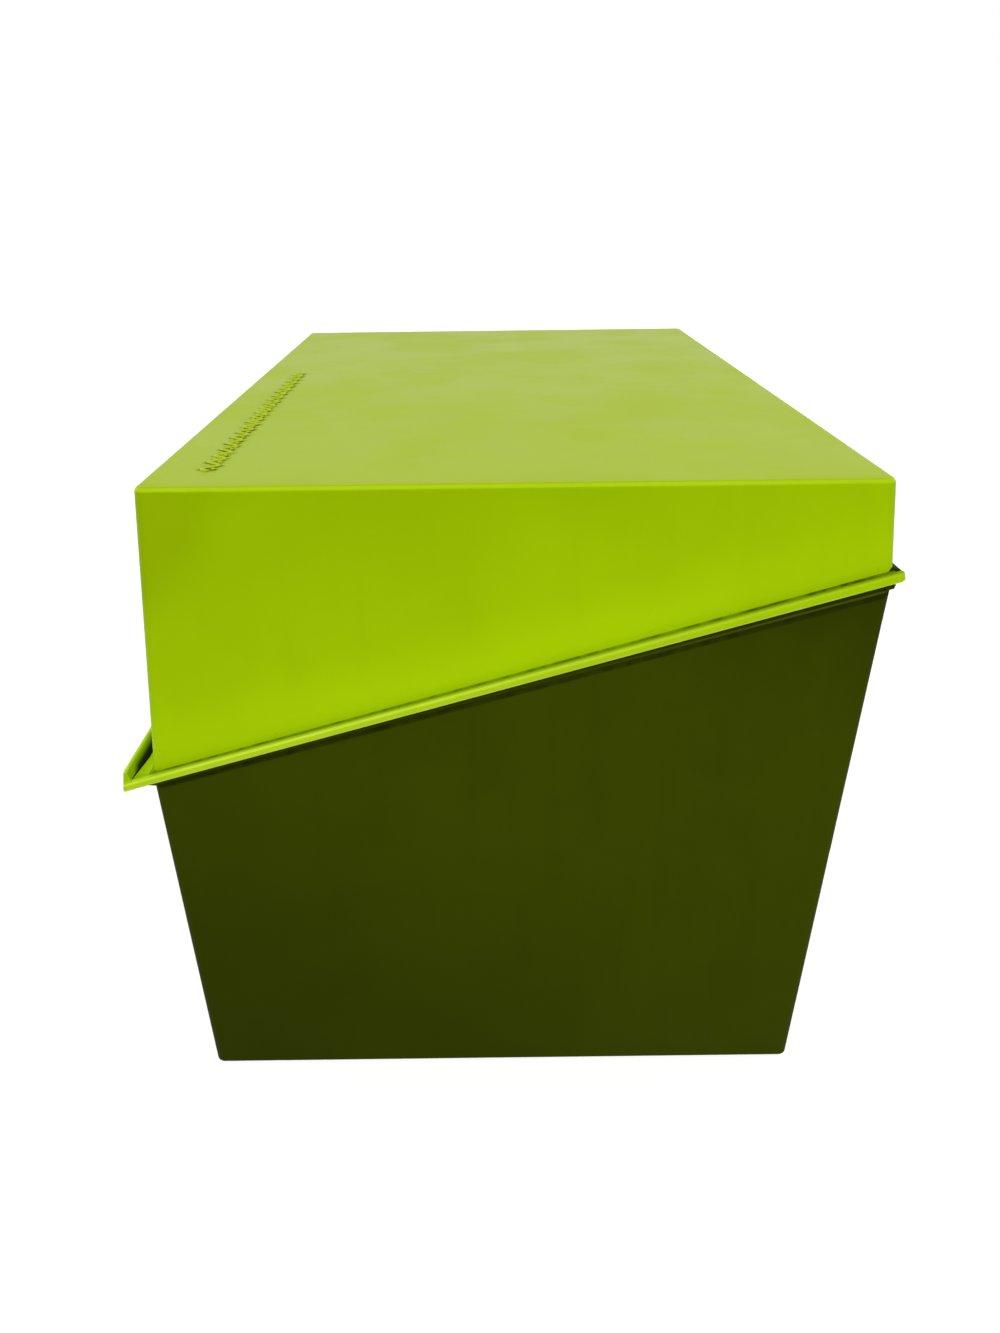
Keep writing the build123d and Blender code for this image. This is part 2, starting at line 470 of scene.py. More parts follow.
@dataclass(frozen=True, kw_only=True)
class MouldedPlastic:
    """Satin moulded plastic, cloudy, wipe-marked and finely grained; its rim soiled, with painted
    shade and highlights.

    Attributes:
        name: Name of the material.
        colour: Clean colour.
        shade: Colour of its darker clouds.
        grime_and_shade: Dark colour of the specks and soiling, and of the painted shade in grooves
            and hollows.
        glint: Tint of the reflection seen straight on.
        gloss: Strength of the reflection.
        roughness: Middle of the roughness.
        darkened: Darker colour of the walls where the graded darkening is strongest.
        darkened_reach: Where the graded darkening begins and how it grows.
        scuffed_reach: Where the scuffs at two upper corners begin and how they grow.
        scuffed_side: Distances from the middle plane over which they begin.
        rim_grime_and_shade: Share of the soiling and painted shade along the rim.
        rim_band: Heights over the parting plane between which that soiling and painted shade lie.
        rim_side: Distances from the middle plane between which it lies.
        rim_along: Its strength along the box, in Y.
        highlight_colour: Colour of the painted highlights along the rim's edges.
        highlight_share: Share of that colour on them.
        highlight_band: Heights over the parting plane between which the rim gets the painted
            highlight.
        highlight_side: Distances from the middle plane over which the painted highlights begin.
        highlight_along: Strength of the painted highlight along the box, in Y.
        plane: Plane that the marks along the rim follow.
    """

    name: str
    colour: Colour
    shade: Colour
    grime_and_shade: Colour
    glint: Colour
    gloss: float
    roughness: float
    darkened: Colour
    darkened_reach: Reach
    scuffed_reach: Reach
    scuffed_side: Step
    rim_grime_and_shade: float
    rim_band: Band
    rim_side: Band
    rim_along: Step
    highlight_colour: Colour
    highlight_share: float
    highlight_band: Band
    highlight_side: Step
    highlight_along: Step
    plane: PartingPlane = PartingPlane()

    def over_rim(self, graph: Graph) -> Socket:
        """Height over the parting plane, in metres."""
        return graph.distance(self.plane.origin, self.plane.normal)

    def down_rim(self, graph: Graph) -> Socket:
        """Distance from the middle of the box down the parting plane, towards the front."""
        return graph.distance(self.plane.origin, self.plane.forward)

    @staticmethod
    def sideways(graph: Graph) -> Socket:
        """Distance from the middle plane of the box, on either side."""
        return graph.math("ABSOLUTE", graph.axis("X"))

    def clouds(self, graph: Graph) -> Socket:
        """Slow change of colour: wide clouds, finer mottling and upright wipe marks."""
        return graph.total(*map(graph.patches, (WIDE_CLOUDS, FINE_CLOUDS, WIPE_MARKS)))

    def darkening(self, graph: Graph) -> Socket:
        """Darkening of the walls, graded towards one edge, and scuffs at two corners.

        Each share grows along a direction of the frame and is broken up by a noise.

        Args:
            graph: Material in the making.

        Returns:
            Share of the handled colour, from 0 to 1.
        """
        walls = graph.step(graph.axis("Z"), WALLS)
        wide = graph.product(graph.reach(self.darkened_reach), walls, graph.patches(DARKENED_PATCHES))
        sides = graph.step(self.sideways(graph), self.scuffed_side)
        broken = graph.patches(SCUFFED_PATCHES)
        corners = graph.product(graph.reach(self.scuffed_reach), walls, sides, broken)
        return graph.total(wide, corners)

    def painted_highlights(self, graph: Graph) -> Socket:
        """Painted highlight along the outer faces of the rim, between two heights over the parting
        plane.

        Its strength changes smoothly from the front of the box to the hinge.

        Args:
            graph: Material in the making.

        Returns:
            Share of the highlight colour, from 0 to 1.
        """
        outer = graph.step(self.sideways(graph), self.highlight_side)
        band = graph.band(self.over_rim(graph), self.highlight_band)
        along = graph.step(graph.axis("Y"), self.highlight_along)
        return graph.product(outer, band, graph.patches(HIGHLIGHT_PATCHES), along, self.highlight_share)

    def rim_dirt_and_shade(self, graph: Graph) -> Socket:
        """Broken line of soiling and painted shade on the rim's sides, between two heights over the
        parting plane.

        Args:
            graph: Material in the making.

        Returns:
            Share of the dark colour, from 0 to 1.
        """
        band = graph.band(self.over_rim(graph), self.rim_band)
        side = graph.band(self.sideways(graph), self.rim_side)
        along = graph.step(graph.axis("Y"), self.rim_along)
        behind = graph.step(self.down_rim(graph), RIM_END)
        broken = graph.patches(RIM_LINE_BREAKS)
        return graph.product(band, side, broken, along, behind, self.rim_grime_and_shade)

    def specks(self, graph: Graph) -> Socket:
        """Sparse dots on the side walls just above the rim, only where a slower noise is high.

        Args:
            graph: Material in the making.

        Returns:
            Share of the grime, from 0 to 1.
        """
        dots = graph.step(graph.cells(SPECKS_PER_METRE), SPECK_DOTS)
        side = graph.band(self.sideways(graph), SPECK_SIDE)
        low = graph.band(self.over_rim(graph), SPECK_HEIGHT)
        return graph.product(dots, graph.patches(SPECK_PLACES), side, low)

    def tone(self, graph: Graph) -> Socket:
        """Colour of the plastic, with its painted highlights, under its soiling and painted shade.

        Args:
            graph: Material in the making.

        Returns:
            The colour.
        """
        body = graph.blend(self.clouds(graph), self.colour, self.shade)
        body = graph.blend(self.darkening(graph), body, self.darkened)
        return graph.blend(self.painted_highlights(graph), body, self.highlight_colour)

    def dirt_and_shade(self, graph: Graph) -> Socket:
        """All the soiling and painted shade on the plastic."""
        return graph.most(self.rim_dirt_and_shade(graph), self.specks(graph))

    def dullness(self, graph: Graph, dirt_and_shade: Socket) -> Socket:
        """Roughness added by the soiling and painted shade."""
        return graph.product(dirt_and_shade, DIRT_DULLNESS)

    def build(self) -> bpy.types.Material:
        """Makes the material.

        Returns:
            The finished material.
        """
        graph = Graph(self.name)
        dirt_and_shade = self.dirt_and_shade(graph)
        # Dirt and painted shade laid over the colour
        colour = graph.blend(dirt_and_shade, self.tone(graph), self.grime_and_shade)
        graph.put(graph.shader.inputs["Base Color"], colour)
        rough = graph.patches(ROUGH_PATCHES)
        roughness = graph.total(rough, self.roughness, self.dullness(graph, dirt_and_shade))
        graph.put(graph.shader.inputs["Roughness"], roughness)
        graph.bump(graph.noise(graph.place, GRAINS_PER_METRE, GRAIN_DETAIL), GRAIN_RELIEF)
        graph.shader.inputs["Specular IOR Level"].default_value = self.gloss
        graph.shader.inputs["Specular Tint"].default_value = (*self.glint, 1.0)
        return graph.material


@dataclass(frozen=True, kw_only=True)
class LidPlastic(MouldedPlastic):
    """The lid's plastic, with painted shade in the lip's trough and round the top's border, and
    painted light on the walls.

    Attributes:
        ridge_band: Heights over the parting plane of the bead's ridge, which gets the strongest
            painted highlight.
        side_highlight: Painted highlight on the rim's sides, by that height.
        crest_highlight: Painted highlight on the finger lip's crest, by that height.
        crest_front: Distances down the parting plane over which the lip's crest begins.
        top_edge: Heights of the edges of the top.
        top_highlight: Share of the painted highlight on them.
        clear: Paler colour painted on the walls next to the rim, as painted light that lifts the
            shade the rim's bar casts there.
        clear_side: Share of that colour, by the distance from the middle plane.
        clear_along: Its strength along the box, in Y.
        clear_height: Its strength, by the height over the parting plane.
        top_colour: Colour of the top.
        top_share: Share of that colour, by the height.
        foot_highlight_colour: Pale colour of the painted highlight along the rim's lower edge.
        foot_highlight_share: Share of that colour.
        foot_highlight_band: Heights over the parting plane of that edge.
        bead_inner: Distances from the middle plane over which the painted shade on the rim's bead
            begins.
        bead_round: Its share, by that distance less the height over the parting plane.
        bead_upper: Its share, by the height over the parting plane.
        bead_end: Its end, down the parting plane.
        trough_start: Distances down the parting plane over which the trough begins.
        trough_end: Distances over which it ends.
        trough_sides: Distances from the middle plane over which its painted shade ends.
        trough_depth: Heights over the parting plane of the painted shade deep in it.
        trough_shade_share: Share of the painted shade in it.
        taper_from: Distance from the middle plane at which the trough starts to narrow.
        taper_slope: Slope of its narrowing.
        lip_foot: Heights over which the thinner painted shade on the lip's inner face begins.
        lip_rise: Heights over which it thins out.
        lip_sides: Distances from the middle plane over which it thins out.
        border_shade_share: Share of the painted shade round the raised border.
        border_ends: Distance past the border's ends over which it fades.
        border_foot: Heights at which it lies.
        wave_ring: Its share, by the distance from the wave.
        bead_ring: Its share, by the distance from the line through the beads.
        bays: Sines of the wave over which the bays that hold the beads begin.
        ledge_dullness: Roughness of the ledge behind the lip, by the distance down the plane.
        ledge_height: Its share, by the height over the parting plane.
        border: Line of the border.
    """

    ridge_band: Band
    side_highlight: Step
    crest_highlight: Step
    crest_front: Step
    top_edge: Band
    top_highlight: float
    clear: Colour
    clear_side: Step
    clear_along: Step
    clear_height: Step
    top_colour: Colour
    top_share: Step
    foot_highlight_colour: Colour
    foot_highlight_share: float
    foot_highlight_band: Band
    bead_inner: Step
    bead_round: Step
    bead_upper: Step
    bead_end: Step
    trough_start: Step
    trough_end: Step
    trough_sides: Step
    trough_depth: Band
    trough_shade_share: float
    taper_from: float
    taper_slope: float
    lip_foot: Step
    lip_rise: Step
    lip_sides: Step
    border_shade_share: float
    border_ends: float
    border_foot: Band
    wave_ring: Step
    bead_ring: Step
    bays: Step
    ledge_dullness: Step
    ledge_height: Step
    border: Border = Border()

    def painted_highlights(self, graph: Graph) -> Socket:
        """Painted highlights on the rim, on the finger lip's crest and on the edges of the top.

        Args:
            graph: Material in the making.

        Returns:
            Share of the highlight colour, from 0 to 1.
        """
        height = self.over_rim(graph)
        ridge = graph.band(height, self.ridge_band)
        side = graph.step(height, self.side_highlight)
        rim = graph.product(super().painted_highlights(graph), graph.most(ridge, side))
        front = graph.step(self.down_rim(graph), self.crest_front)
        crest = graph.product(graph.step(height, self.crest_highlight), front)
        top = graph.product(graph.band(graph.axis("Z"), self.top_edge), self.top_highlight)
        return graph.most(rim, crest, top)

    def wall_light(self, graph: Graph) -> Socket:
        """Painted light on the walls next to the rim, fading out higher up and towards the back.

        Args:
            graph: Material in the making.

        Returns:
            Share of the paler colour, from 0 to 1.
        """
        wall = graph.step(self.sideways(graph), self.clear_side)
        along = graph.step(graph.axis("Y"), self.clear_along)
        return graph.product(wall, along, graph.step(self.over_rim(graph), self.clear_height))

    def foot_highlight(self, graph: Graph) -> Socket:
        """Painted pale highlight along the lower edge of the rim's sides, in patches.

        Args:
            graph: Material in the making.

        Returns:
            Share of the pale colour, from 0 to 1.
        """
        outer = graph.step(self.sideways(graph), self.highlight_side)
        edge = graph.band(self.over_rim(graph), self.foot_highlight_band)
        return graph.product(outer, edge, graph.patches(FOOT_HIGHLIGHT_PATCHES), self.foot_highlight_share)

    def bead_shade(self, graph: Graph) -> Socket:
        """Thin painted shade on the rim's bead, on the side of its groove.

        Args:
            graph: Material in the making.

        Returns:
            Share of the dark colour, from 0 to 1.
        """
        far, height = self.sideways(graph), self.over_rim(graph)
        inner = graph.step(far, self.bead_inner)
        rounded = graph.step(graph.math("SUBTRACT", far, height), self.bead_round)
        upper = graph.step(height, self.bead_upper)
        return graph.product(inner, rounded, upper, graph.step(self.down_rim(graph), self.bead_end))

    def trough_shade(self, graph: Graph) -> Socket:
        """Painted shade deep in the trough behind the finger lip, thinning out up the lip's inner
        face.

        Args:
            graph: Material in the making.

        Returns:
            Share of the dark colour, from 0 to 1.
        """
        height, ahead, far = self.over_rim(graph), self.down_rim(graph), self.sideways(graph)
        past_taper = graph.most(graph.math("SUBTRACT", far, self.taper_from), 0.0)
        narrowing = graph.product(past_taper, self.taper_slope)
        past_ledge = graph.step(graph.math("SUBTRACT", ahead, narrowing), self.trough_start)
        before_lip = graph.step(ahead, self.trough_end)
        ends = graph.step(far, self.trough_sides)
        deep = graph.band(height, self.trough_depth)
        up = graph.product(graph.step(height, self.lip_foot), graph.step(height, self.lip_rise))
        face = graph.product(up, graph.step(far, self.lip_sides))
        shaded = graph.most(deep, face)
        return graph.product(past_ledge, before_lip, ends, shaded, self.trough_shade_share)

    def border_shade(self, graph: Graph) -> Socket:
        """Painted shade round the waves and beads on the lid's top.

        It fades with the distance, across the border, from the wave
        line + swing * sin(pace * (x - far)) and, in the bays where the sine is near 1 or -1, from
        the opposite line through the beads.

        Args:
            graph: Material in the making.

        Returns:
            Share of the grime, from 0 to 1.
        """
        edge = self.border
        turn = graph.product(graph.math("SUBTRACT", graph.axis("X"), edge.far), edge.pace)
        sine = graph.math("SINE", turn)
        across = graph.math("SUBTRACT", graph.axis("Y"), edge.line)
        to_wave = graph.product(sine, edge.swing)
        off_wave = graph.math("ABSOLUTE", graph.math("SUBTRACT", across, to_wave))
        to_beads = graph.product(sine, edge.swing * edge.bead_share)
        off_beads = graph.math("ABSOLUTE", graph.total(across, to_beads))
        bays = graph.step(graph.math("ABSOLUTE", sine), self.bays)
        beads = graph.product(graph.step(off_beads, self.bead_ring), bays)
        shaded_rings = graph.most(graph.step(off_wave, self.wave_ring), beads)
        along = graph.band(graph.axis("X"), Band(edge.far, edge.near, self.border_ends))
        foot = graph.band(graph.axis("Z"), self.border_foot)
        patchy = graph.patches(BORDER_SHADE_PATCHES)
        return graph.product(shaded_rings, along, foot, patchy, self.border_shade_share)

    def tone(self, graph: Graph) -> Socket:
        """Colour of the lid, with its painted light and highlights, under its soiling and painted
        shade.

        Args:
            graph: Material in the making.

        Returns:
            The colour.
        """
        body = graph.blend(self.wall_light(graph), super().tone(graph), self.clear)
        body = graph.blend(self.foot_highlight(graph), body, self.foot_highlight_colour)
        return graph.blend(graph.step(graph.axis("Z"), self.top_share), body, self.top_colour)

    def dirt_and_shade(self, graph: Graph) -> Socket:
        """All the soiling and painted shade on the lid."""
        places = (self.bead_shade(graph), self.trough_shade(graph), self.border_shade(graph))
        return graph.most(super().dirt_and_shade(graph), *places)

    def dullness(self, graph: Graph, dirt_and_shade: Socket) -> Socket:
        """Roughness added by the soiling and painted shade, and by fingers on the ledge behind the
        finger lip.

        Args:
            graph: Material in the making.
            dirt_and_shade: Share of the soiling and painted shade.

        Returns:
            The added roughness.
        """
        ledge = graph.step(self.down_rim(graph), self.ledge_dullness)
        low = graph.step(self.over_rim(graph), self.ledge_height)
        return graph.total(super().dullness(graph, dirt_and_shade), graph.product(ledge, low))


@dataclass(frozen=True)
class DrawnSteel:
    """Drawn steel wire, streaked along its length.

    Attributes:
        name: Name of the material.
        colour: Bright colour of the steel.
        shade: Colour of its darker streaks.
        roughness: Middle of the roughness.
        spread: Change of the roughness to either side of it.
        streaks: Streaks per metre on X, Y and Z.
        detail: Octaves added to them.
        streak_edge: Noise values at the edge of a streak.
        rough_edge: Noise values between which the roughness changes.
        relief: Strength and depth of the streaks.
    """

    name: str
    colour: Colour
    shade: Colour
    roughness: float
    spread: float
    streaks: Point
    detail: float
    streak_edge: Step
    rough_edge: tuple[float, float]
    relief: Relief

    def build(self) -> bpy.types.Material:
        """Makes the material.

        Returns:
            The finished material.
        """
        graph = Graph(self.name)
        streaks = graph.noise(graph.scaled(self.streaks), 1.0, self.detail)
        colour = graph.blend(graph.step(streaks, self.streak_edge), self.colour, self.shade)
        graph.put(graph.shader.inputs["Base Color"], colour)
        smooth, rough = self.roughness - self.spread, self.roughness + self.spread
        roughness = graph.step(streaks, Step(*self.rough_edge, smooth, rough))
        graph.put(graph.shader.inputs["Roughness"], roughness)
        graph.bump(streaks, self.relief)
        graph.shader.inputs["Metallic"].default_value = 1.0
        return graph.material


LIME = LidPlastic(
    name="lime_moulded_plastic",
    colour=(0.368, 0.574, 0.0008),
    shade=(0.331, 0.511, 0.0005),
    grime_and_shade=(0.014, 0.020, 0.0008),
    glint=(0.75, 0.95, 0.12),
    gloss=0.048,
    roughness=0.38,
    # Lid walls darker towards the top, a little towards the front
    darkened=(0.280, 0.428, 0.0004),
    darkened_reach=Reach((0.0, 40.0 * MM, 84.0 * MM), (0.0, -0.22, 0.9755), 45.0 * MM),
    scuffed_reach=Reach((0.0, -38.5 * MM, 99.0 * MM), (0.0, -0.75, 0.6614), 15.0 * MM),
    scuffed_side=Step(66.0 * MM, 81.5 * MM),
    # Dirt and painted shade in the groove at the foot of the lid's walls
    rim_grime_and_shade=0.55,
    rim_band=Band(0.42 * MM, 0.66 * MM, 0.06 * MM),
    rim_side=Band(82.5 * MM, 83.9 * MM, 0.1 * MM),
    rim_along=Step(20.0 * MM, 50.0 * MM, 1.0, 1.25),
    # Painted highlights on the rim's bead and sides, the finger lip's crest and the top's edges
    highlight_colour=(0.60, 0.82, 0.040),
    highlight_share=1.0,
    highlight_band=Band(-0.80 * MM, 0.85 * MM, 0.12 * MM),
    highlight_side=Step(84.10 * MM, 84.35 * MM),
    highlight_along=Step(-40.0 * MM, 70.0 * MM, 1.0, 0.0),
    ridge_band=Band(0.22 * MM, 0.50 * MM, 0.12 * MM),
    side_highlight=Step(-0.62 * MM, -0.50 * MM, 0.50, 0.35),
    crest_highlight=Step(2.2 * MM, 2.5 * MM, 0.0, 0.65),
    crest_front=Step(58.9 * MM, 59.3 * MM),
    top_edge=Band(107.98 * MM, 108.32 * MM, 0.12 * MM),
    top_highlight=0.13,
    # Painted light on the walls just above the rim
    clear=(0.415, 0.645, 0.0012),
    clear_side=Step(83.0 * MM, 83.3 * MM, 0.8, 0.0),
    clear_along=Step(15.0 * MM, 52.0 * MM, 1.0, 0.45),
    clear_height=Step(1.5 * MM, 12.0 * MM, 1.0, 0.0),
    top_colour=(0.40, 0.50, 0.0010),
    top_share=Step(108.38 * MM, 108.45 * MM, 0.0, 0.7),
    # Painted pale highlight along the rim's lower edge
    foot_highlight_colour=(0.60, 0.74, 0.110),
    foot_highlight_share=0.75,
    foot_highlight_band=Band(-0.80 * MM, -0.52 * MM, 0.08 * MM),
    # Painted shade on the inner top of the rim's bead, next to its groove
    bead_inner=Step(83.85 * MM, 83.95 * MM),
    bead_round=Step(83.45 * MM, 84.15 * MM, 1.0, 0.0),
    bead_upper=Step(0.2 * MM, 0.4 * MM, 0.0, 0.42),
    bead_end=Step(55.5 * MM, 56.8 * MM, 1.0, 0.0),
    # Painted shade deep in the trough behind the finger lip
    trough_start=Step(58.40 * MM, 58.50 * MM),
    trough_end=Step(59.47 * MM, 59.50 * MM, 1.0, 0.0),
    trough_sides=Step(84.0 * MM, 84.15 * MM, 1.0, 0.0),
    trough_depth=Band(-0.40 * MM, 0.80 * MM, 0.2 * MM),
    trough_shade_share=0.97,
    taper_from=78.03 * MM,
    taper_slope=0.15,
    lip_foot=Step(0.7 * MM, 0.8 * MM),
    lip_rise=Step(0.9 * MM, 2.45 * MM, 1.0, 0.0),
    lip_sides=Step(80.0 * MM, 83.8 * MM, 1.0, 0.0),
    # Painted shade round the waves and beads of the border
    border_shade_share=0.70,
    border_ends=0.6 * MM,
    border_foot=Band(108.4 * MM, 108.52 * MM, 0.1 * MM),
    wave_ring=Step(0.35 * MM, 1.25 * MM, 1.0, 0.0),
    bead_ring=Step(0.35 * MM, 0.95 * MM, 1.0, 0.0),
    bays=Step(0.45, 0.90),
    ledge_dullness=Step(56.2 * MM, 56.6 * MM, 0.0, 0.4),
    ledge_height=Step(1.0 * MM, 1.6 * MM, 1.0, 0.0),
)
BORDER = replace(
    LIME,
    name="lime_moulded_border",
    # Paler, less saturated colour on the border's top: a painted sheen
    top_colour=(0.46, 0.57, 0.030),
    top_share=replace(LIME.top_share, high=0.8),
    border_shade_share=0.9,
    border_foot=replace(LIME.border_foot, edge=0.22 * MM),
)
OLIVE = MouldedPlastic(
    name="olive_moulded_plastic",
    colour=(0.0420, 0.0575, 0.0004),
    shade=(0.0355, 0.0490, 0.0003),
    grime_and_shade=(0.0080, 0.0110, 0.0004),
    glint=(0.80, 0.95, 0.20),
    gloss=0.02,
    roughness=0.55,
    # Base walls darker towards the bottom and the front
    darkened=(0.0255, 0.0350, 0.0004),
    darkened_reach=Reach((0.0, 15.0 * MM, 45.0 * MM), (0.0, -0.6, -0.8), 80.0 * MM),
    scuffed_reach=Reach((0.0, 30.0 * MM, 74.0 * MM), (0.0, 0.3, 0.954), 30.0 * MM),
    scuffed_side=Step(66.0 * MM, 77.0 * MM),
    # Painted shade under the lid's rim, along the base's flange
    rim_grime_and_shade=0.58,
    rim_band=Band(-2.48 * MM, -1.98 * MM, 0.36 * MM),
    rim_side=Band(82.0 * MM, 84.2 * MM, 0.1 * MM),
    rim_along=Step(-52.0 * MM, -10.0 * MM, 1.2, 1.0),
    # Painted highlight along the base's flange under the lid's rim
    highlight_colour=(0.074, 0.092, 0.0075),
    highlight_share=0.95,
    highlight_band=Band(-1.72 * MM, -1.52 * MM, 0.12 * MM),
    highlight_side=Step(80.0 * MM, 80.5 * MM),
    highlight_along=Step(5.0 * MM, 40.0 * MM, 0.10, 1.0),
    plane=PartingPlane(height=78.15 * MM, slope=15.8),
)
STEEL = DrawnSteel(
    name="drawn_steel_rod",
    colour=(0.56, 0.56, 0.55),
    shade=(0.40, 0.40, 0.39),
    roughness=0.34,
    spread=0.08,
    streaks=(40.0, 6000.0, 6000.0),
    detail=3.0,
    streak_edge=Step(0.35, 0.65),
    rough_edge=(0.3, 0.7),
    relief=Relief(0.3, 0.01 * MM),
)


def dress(node: bpy.types.Object, material: bpy.types.Material) -> None:
    """Gives a piece one material in place of those it has."""
    node.data.materials.clear()
    node.data.materials.append(material)


def mesh_piece(
    name: str, points: np.ndarray, faces: list[list[int]], shading: Shading
) -> bpy.types.Object:
    """Puts an array of points and its faces into a new object at the origin.

    Args:
        name: Name of the piece.
        points: Array of shape (count, 3).
        faces: Corner indices of each face.
        shading: How the faces are shaded.

    Returns:
        The new object.
    """
    mesh = bpy.data.meshes.new(name)
    mesh.from_pydata(points.tolist(), [], faces)
    mesh.polygons.foreach_set("use_smooth", np.full(len(mesh.polygons), shading.value))
    mesh.update()
    piece = bpy.data.objects.new(name, mesh)
    bpy.context.scene.collection.objects.link(piece)
    return piece


def ring_faces(rings: int, around: int, first: int = 0) -> list[list[int]]:
    """Faces of a closed skin of rings, with a flat cap on each end.

    Corner j of ring i is joined to corner j + 1 of the same ring and of the next, counting round.

    Args:
        rings: Number of rings.
        around: Corners of each ring.
        first: Index of the first corner.

    Returns:
        Corner indices of each face.
    """
    i, j = np.meshgrid(np.arange(rings - 1), np.arange(around), indexing="ij")
    k = (j + 1) % around
    here, beyond = first + i * around, first + (i + 1) * around
    quads = np.stack([here + j, here + k, beyond + k, beyond + j], axis=-1)
    start = first + np.arange(around)[::-1]
    end = first + (rings - 1) * around + np.arange(around)
    return quads.reshape(-1, 4).tolist() + [start.tolist(), end.tolist()]


@dataclass
class Lid:
    """The lime cap of the box, with the raised border moulded on its top.

    Attributes:
        node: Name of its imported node.
        top: Height of the lid's top.
        border: Line of the border.
        ridge_width: Width of the wave's ridge.
        ridge_height: Height of the ridge over the lid's top.
        ridge_end: Square of the share to which the ridge narrows at its ends.
        rings_per_wave: Rings of points along each wave.
        arc_points: Points over the ridge's round.
        bead_radius: Radius of the beads between the waves.
        bead_height: Height of the beads, in parts of the ridge's.
        bead_lifts: Angles of a bead's rings over its foot, in degrees, the first for its sunk foot.
        bead_corners: Corners of each ring.
        sink: Depth of the border's foot below the lid's top.
    """

    node: str = "lid"
    top: float = 108.5 * MM
    border: Border = Border()
    ridge_width: float = 0.56 * MM
    ridge_height: float = 0.32 * MM
    ridge_end: float = 0.1
    rings_per_wave: int = 28
    arc_points: int = 9
    bead_radius: float = 0.40 * MM
    bead_height: float = 0.9
    bead_lifts: tuple[float, ...] = (0.0, 0.0, 25.0, 50.0, 72.0, 86.0)
    bead_corners: int = 16
    sink: float = 0.15 * MM

    def wave(self) -> bpy.types.Object:
        """Builds the border's wave, a rounded ridge carried along a sine line.

        The line is (x, line + swing * sin(pace * (x - far))). Across it, the ridge's height is
        height * sqrt(1 - s * s) with s from -1 to 1 over its width, and its foot lies under the
        lid's top. Width and height fall to a third over the last half ridge width at each end.

        Returns:
            The wave's object.
        """
        edge = self.border
        count = edge.waves * self.rings_per_wave + 1
        x = np.linspace(edge.far, edge.near, count)
        turn = edge.pace * (x - edge.far)
        y = edge.line + edge.swing * np.sin(turn)
        slope = edge.swing * edge.pace * np.cos(turn)
        run = np.sqrt(1.0 + slope**2)
        normal = np.stack([-slope / run, 1.0 / run], axis=-1)
        from_end = np.minimum(x - edge.far, edge.near - x) / (self.ridge_width / 2.0)
        short_of_full = 1.0 - np.clip(from_end, 0.0, 1.0)
        taper = np.sqrt(np.clip(1.0 - short_of_full**2, self.ridge_end, 1.0))
        arc = np.linspace(0.0, np.pi, self.arc_points)
        across = np.concatenate([np.cos(arc), [-1.0, 1.0]]) * self.ridge_width / 2.0
        up = np.concatenate([np.sin(arc) * self.ridge_height, [-self.sink, -self.sink]])
        shift = across[None, :] * taper[:, None]
        points = np.empty((count, across.size, 3))
        points[..., 0] = x[:, None] + normal[:, :1] * shift
        points[..., 1] = y[:, None] + normal[:, 1:] * shift
        points[..., 2] = self.top + np.where(up > 0.0, up * taper[:, None], up)
        faces = ring_faces(count, across.size)
        return mesh_piece("lid_border_wave", points.reshape(-1, 3), faces, Shading.SMOOTH)

    def beads(self) -> bpy.types.Object:
        """Builds the beads, a dome in each bay of the wave on either side of the middle line.

        A bead's ring at the angle a over its foot has the radius r * cos(a) and the height
        h * sin(a), and a ring of the full radius closes it below the lid's top.

        Returns:
            The beads' object.
        """
        edge = self.border
        number = np.arange(2 * edge.waves)
        side = np.where(number % 2 == 0, -1.0, 1.0)
        centre_x = edge.far + (number + 0.5) * edge.wave_length / 2.0
        centre_y = edge.line + side * edge.swing * edge.bead_share
        lift = np.radians(np.array(self.bead_lifts))
        around = np.linspace(0.0, 2.0 * np.pi, self.bead_corners, endpoint=False)
        height = self.top + np.sin(lift) * self.ridge_height * self.bead_height
        height[0] = self.top - self.sink
        radius = self.bead_radius * np.cos(lift)
        points = np.empty((number.size, lift.size, around.size, 3))
        points[..., 0] = centre_x[:, None, None] + radius[None, :, None] * np.cos(around)
        points[..., 1] = centre_y[:, None, None] + radius[None, :, None] * np.sin(around)
        points[..., 2] = height[None, :, None]
        firsts = (number * lift.size * around.size).tolist()
        faces = [face for first in firsts for face in ring_faces(lift.size, around.size, first)]
        return mesh_piece("lid_border_beads", points.reshape(-1, 3), faces, Shading.SMOOTH)

    def build(self) -> None:
        """Dresses the lid and moulds the border on it."""
        dress(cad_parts[self.node], LIME.build())
        LOG.info("dressed %s", self.node)
        border = BORDER.build()
        for piece in (self.wave(), self.beads()):
            dress(piece, border)
            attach(piece, Body.LID.value)
            LOG.info("built %s with %d faces", piece.name, len(piece.data.polygons))


@dataclass
class Base:
    """The olive box that holds the cards, with the rod of its hinge.

    Attributes:
        node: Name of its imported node.
        rod: Name of the rod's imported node.
    """

    node: str = "base"
    rod: str = "hinge_rod"

    def build(self) -> None:
        """Dresses the base and the rod in it."""
        dress(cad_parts[self.node], OLIVE.build())
        dress(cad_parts[self.rod], STEEL.build())
        LOG.info("dressed %s and %s", self.node, self.rod)


@dataclass(frozen=True)
class Lamp:
    """A soft square lamp that points at the middle of the box.

    Attributes:
        name: Name of the lamp.
        place: Where it stands.
        side: Length of its sides.
        power: Light that it gives, in watts.
    """

    name: str
    place: Point
    side: float
    power: float

    def build(self, target: Vector) -> None:
        """Makes the lamp.

        Args:
            target: Point that it shines at.
        """
        light = bpy.data.lights.new(self.name, "AREA")
        light.size = self.side
        light.energy = self.power
        lamp = bpy.data.objects.new(self.name, light)
        lamp.location = self.place
        lamp.rotation_euler = (target - Vector(self.place)).to_track_quat("-Z", "Y").to_euler()
        bpy.context.scene.collection.objects.link(lamp)


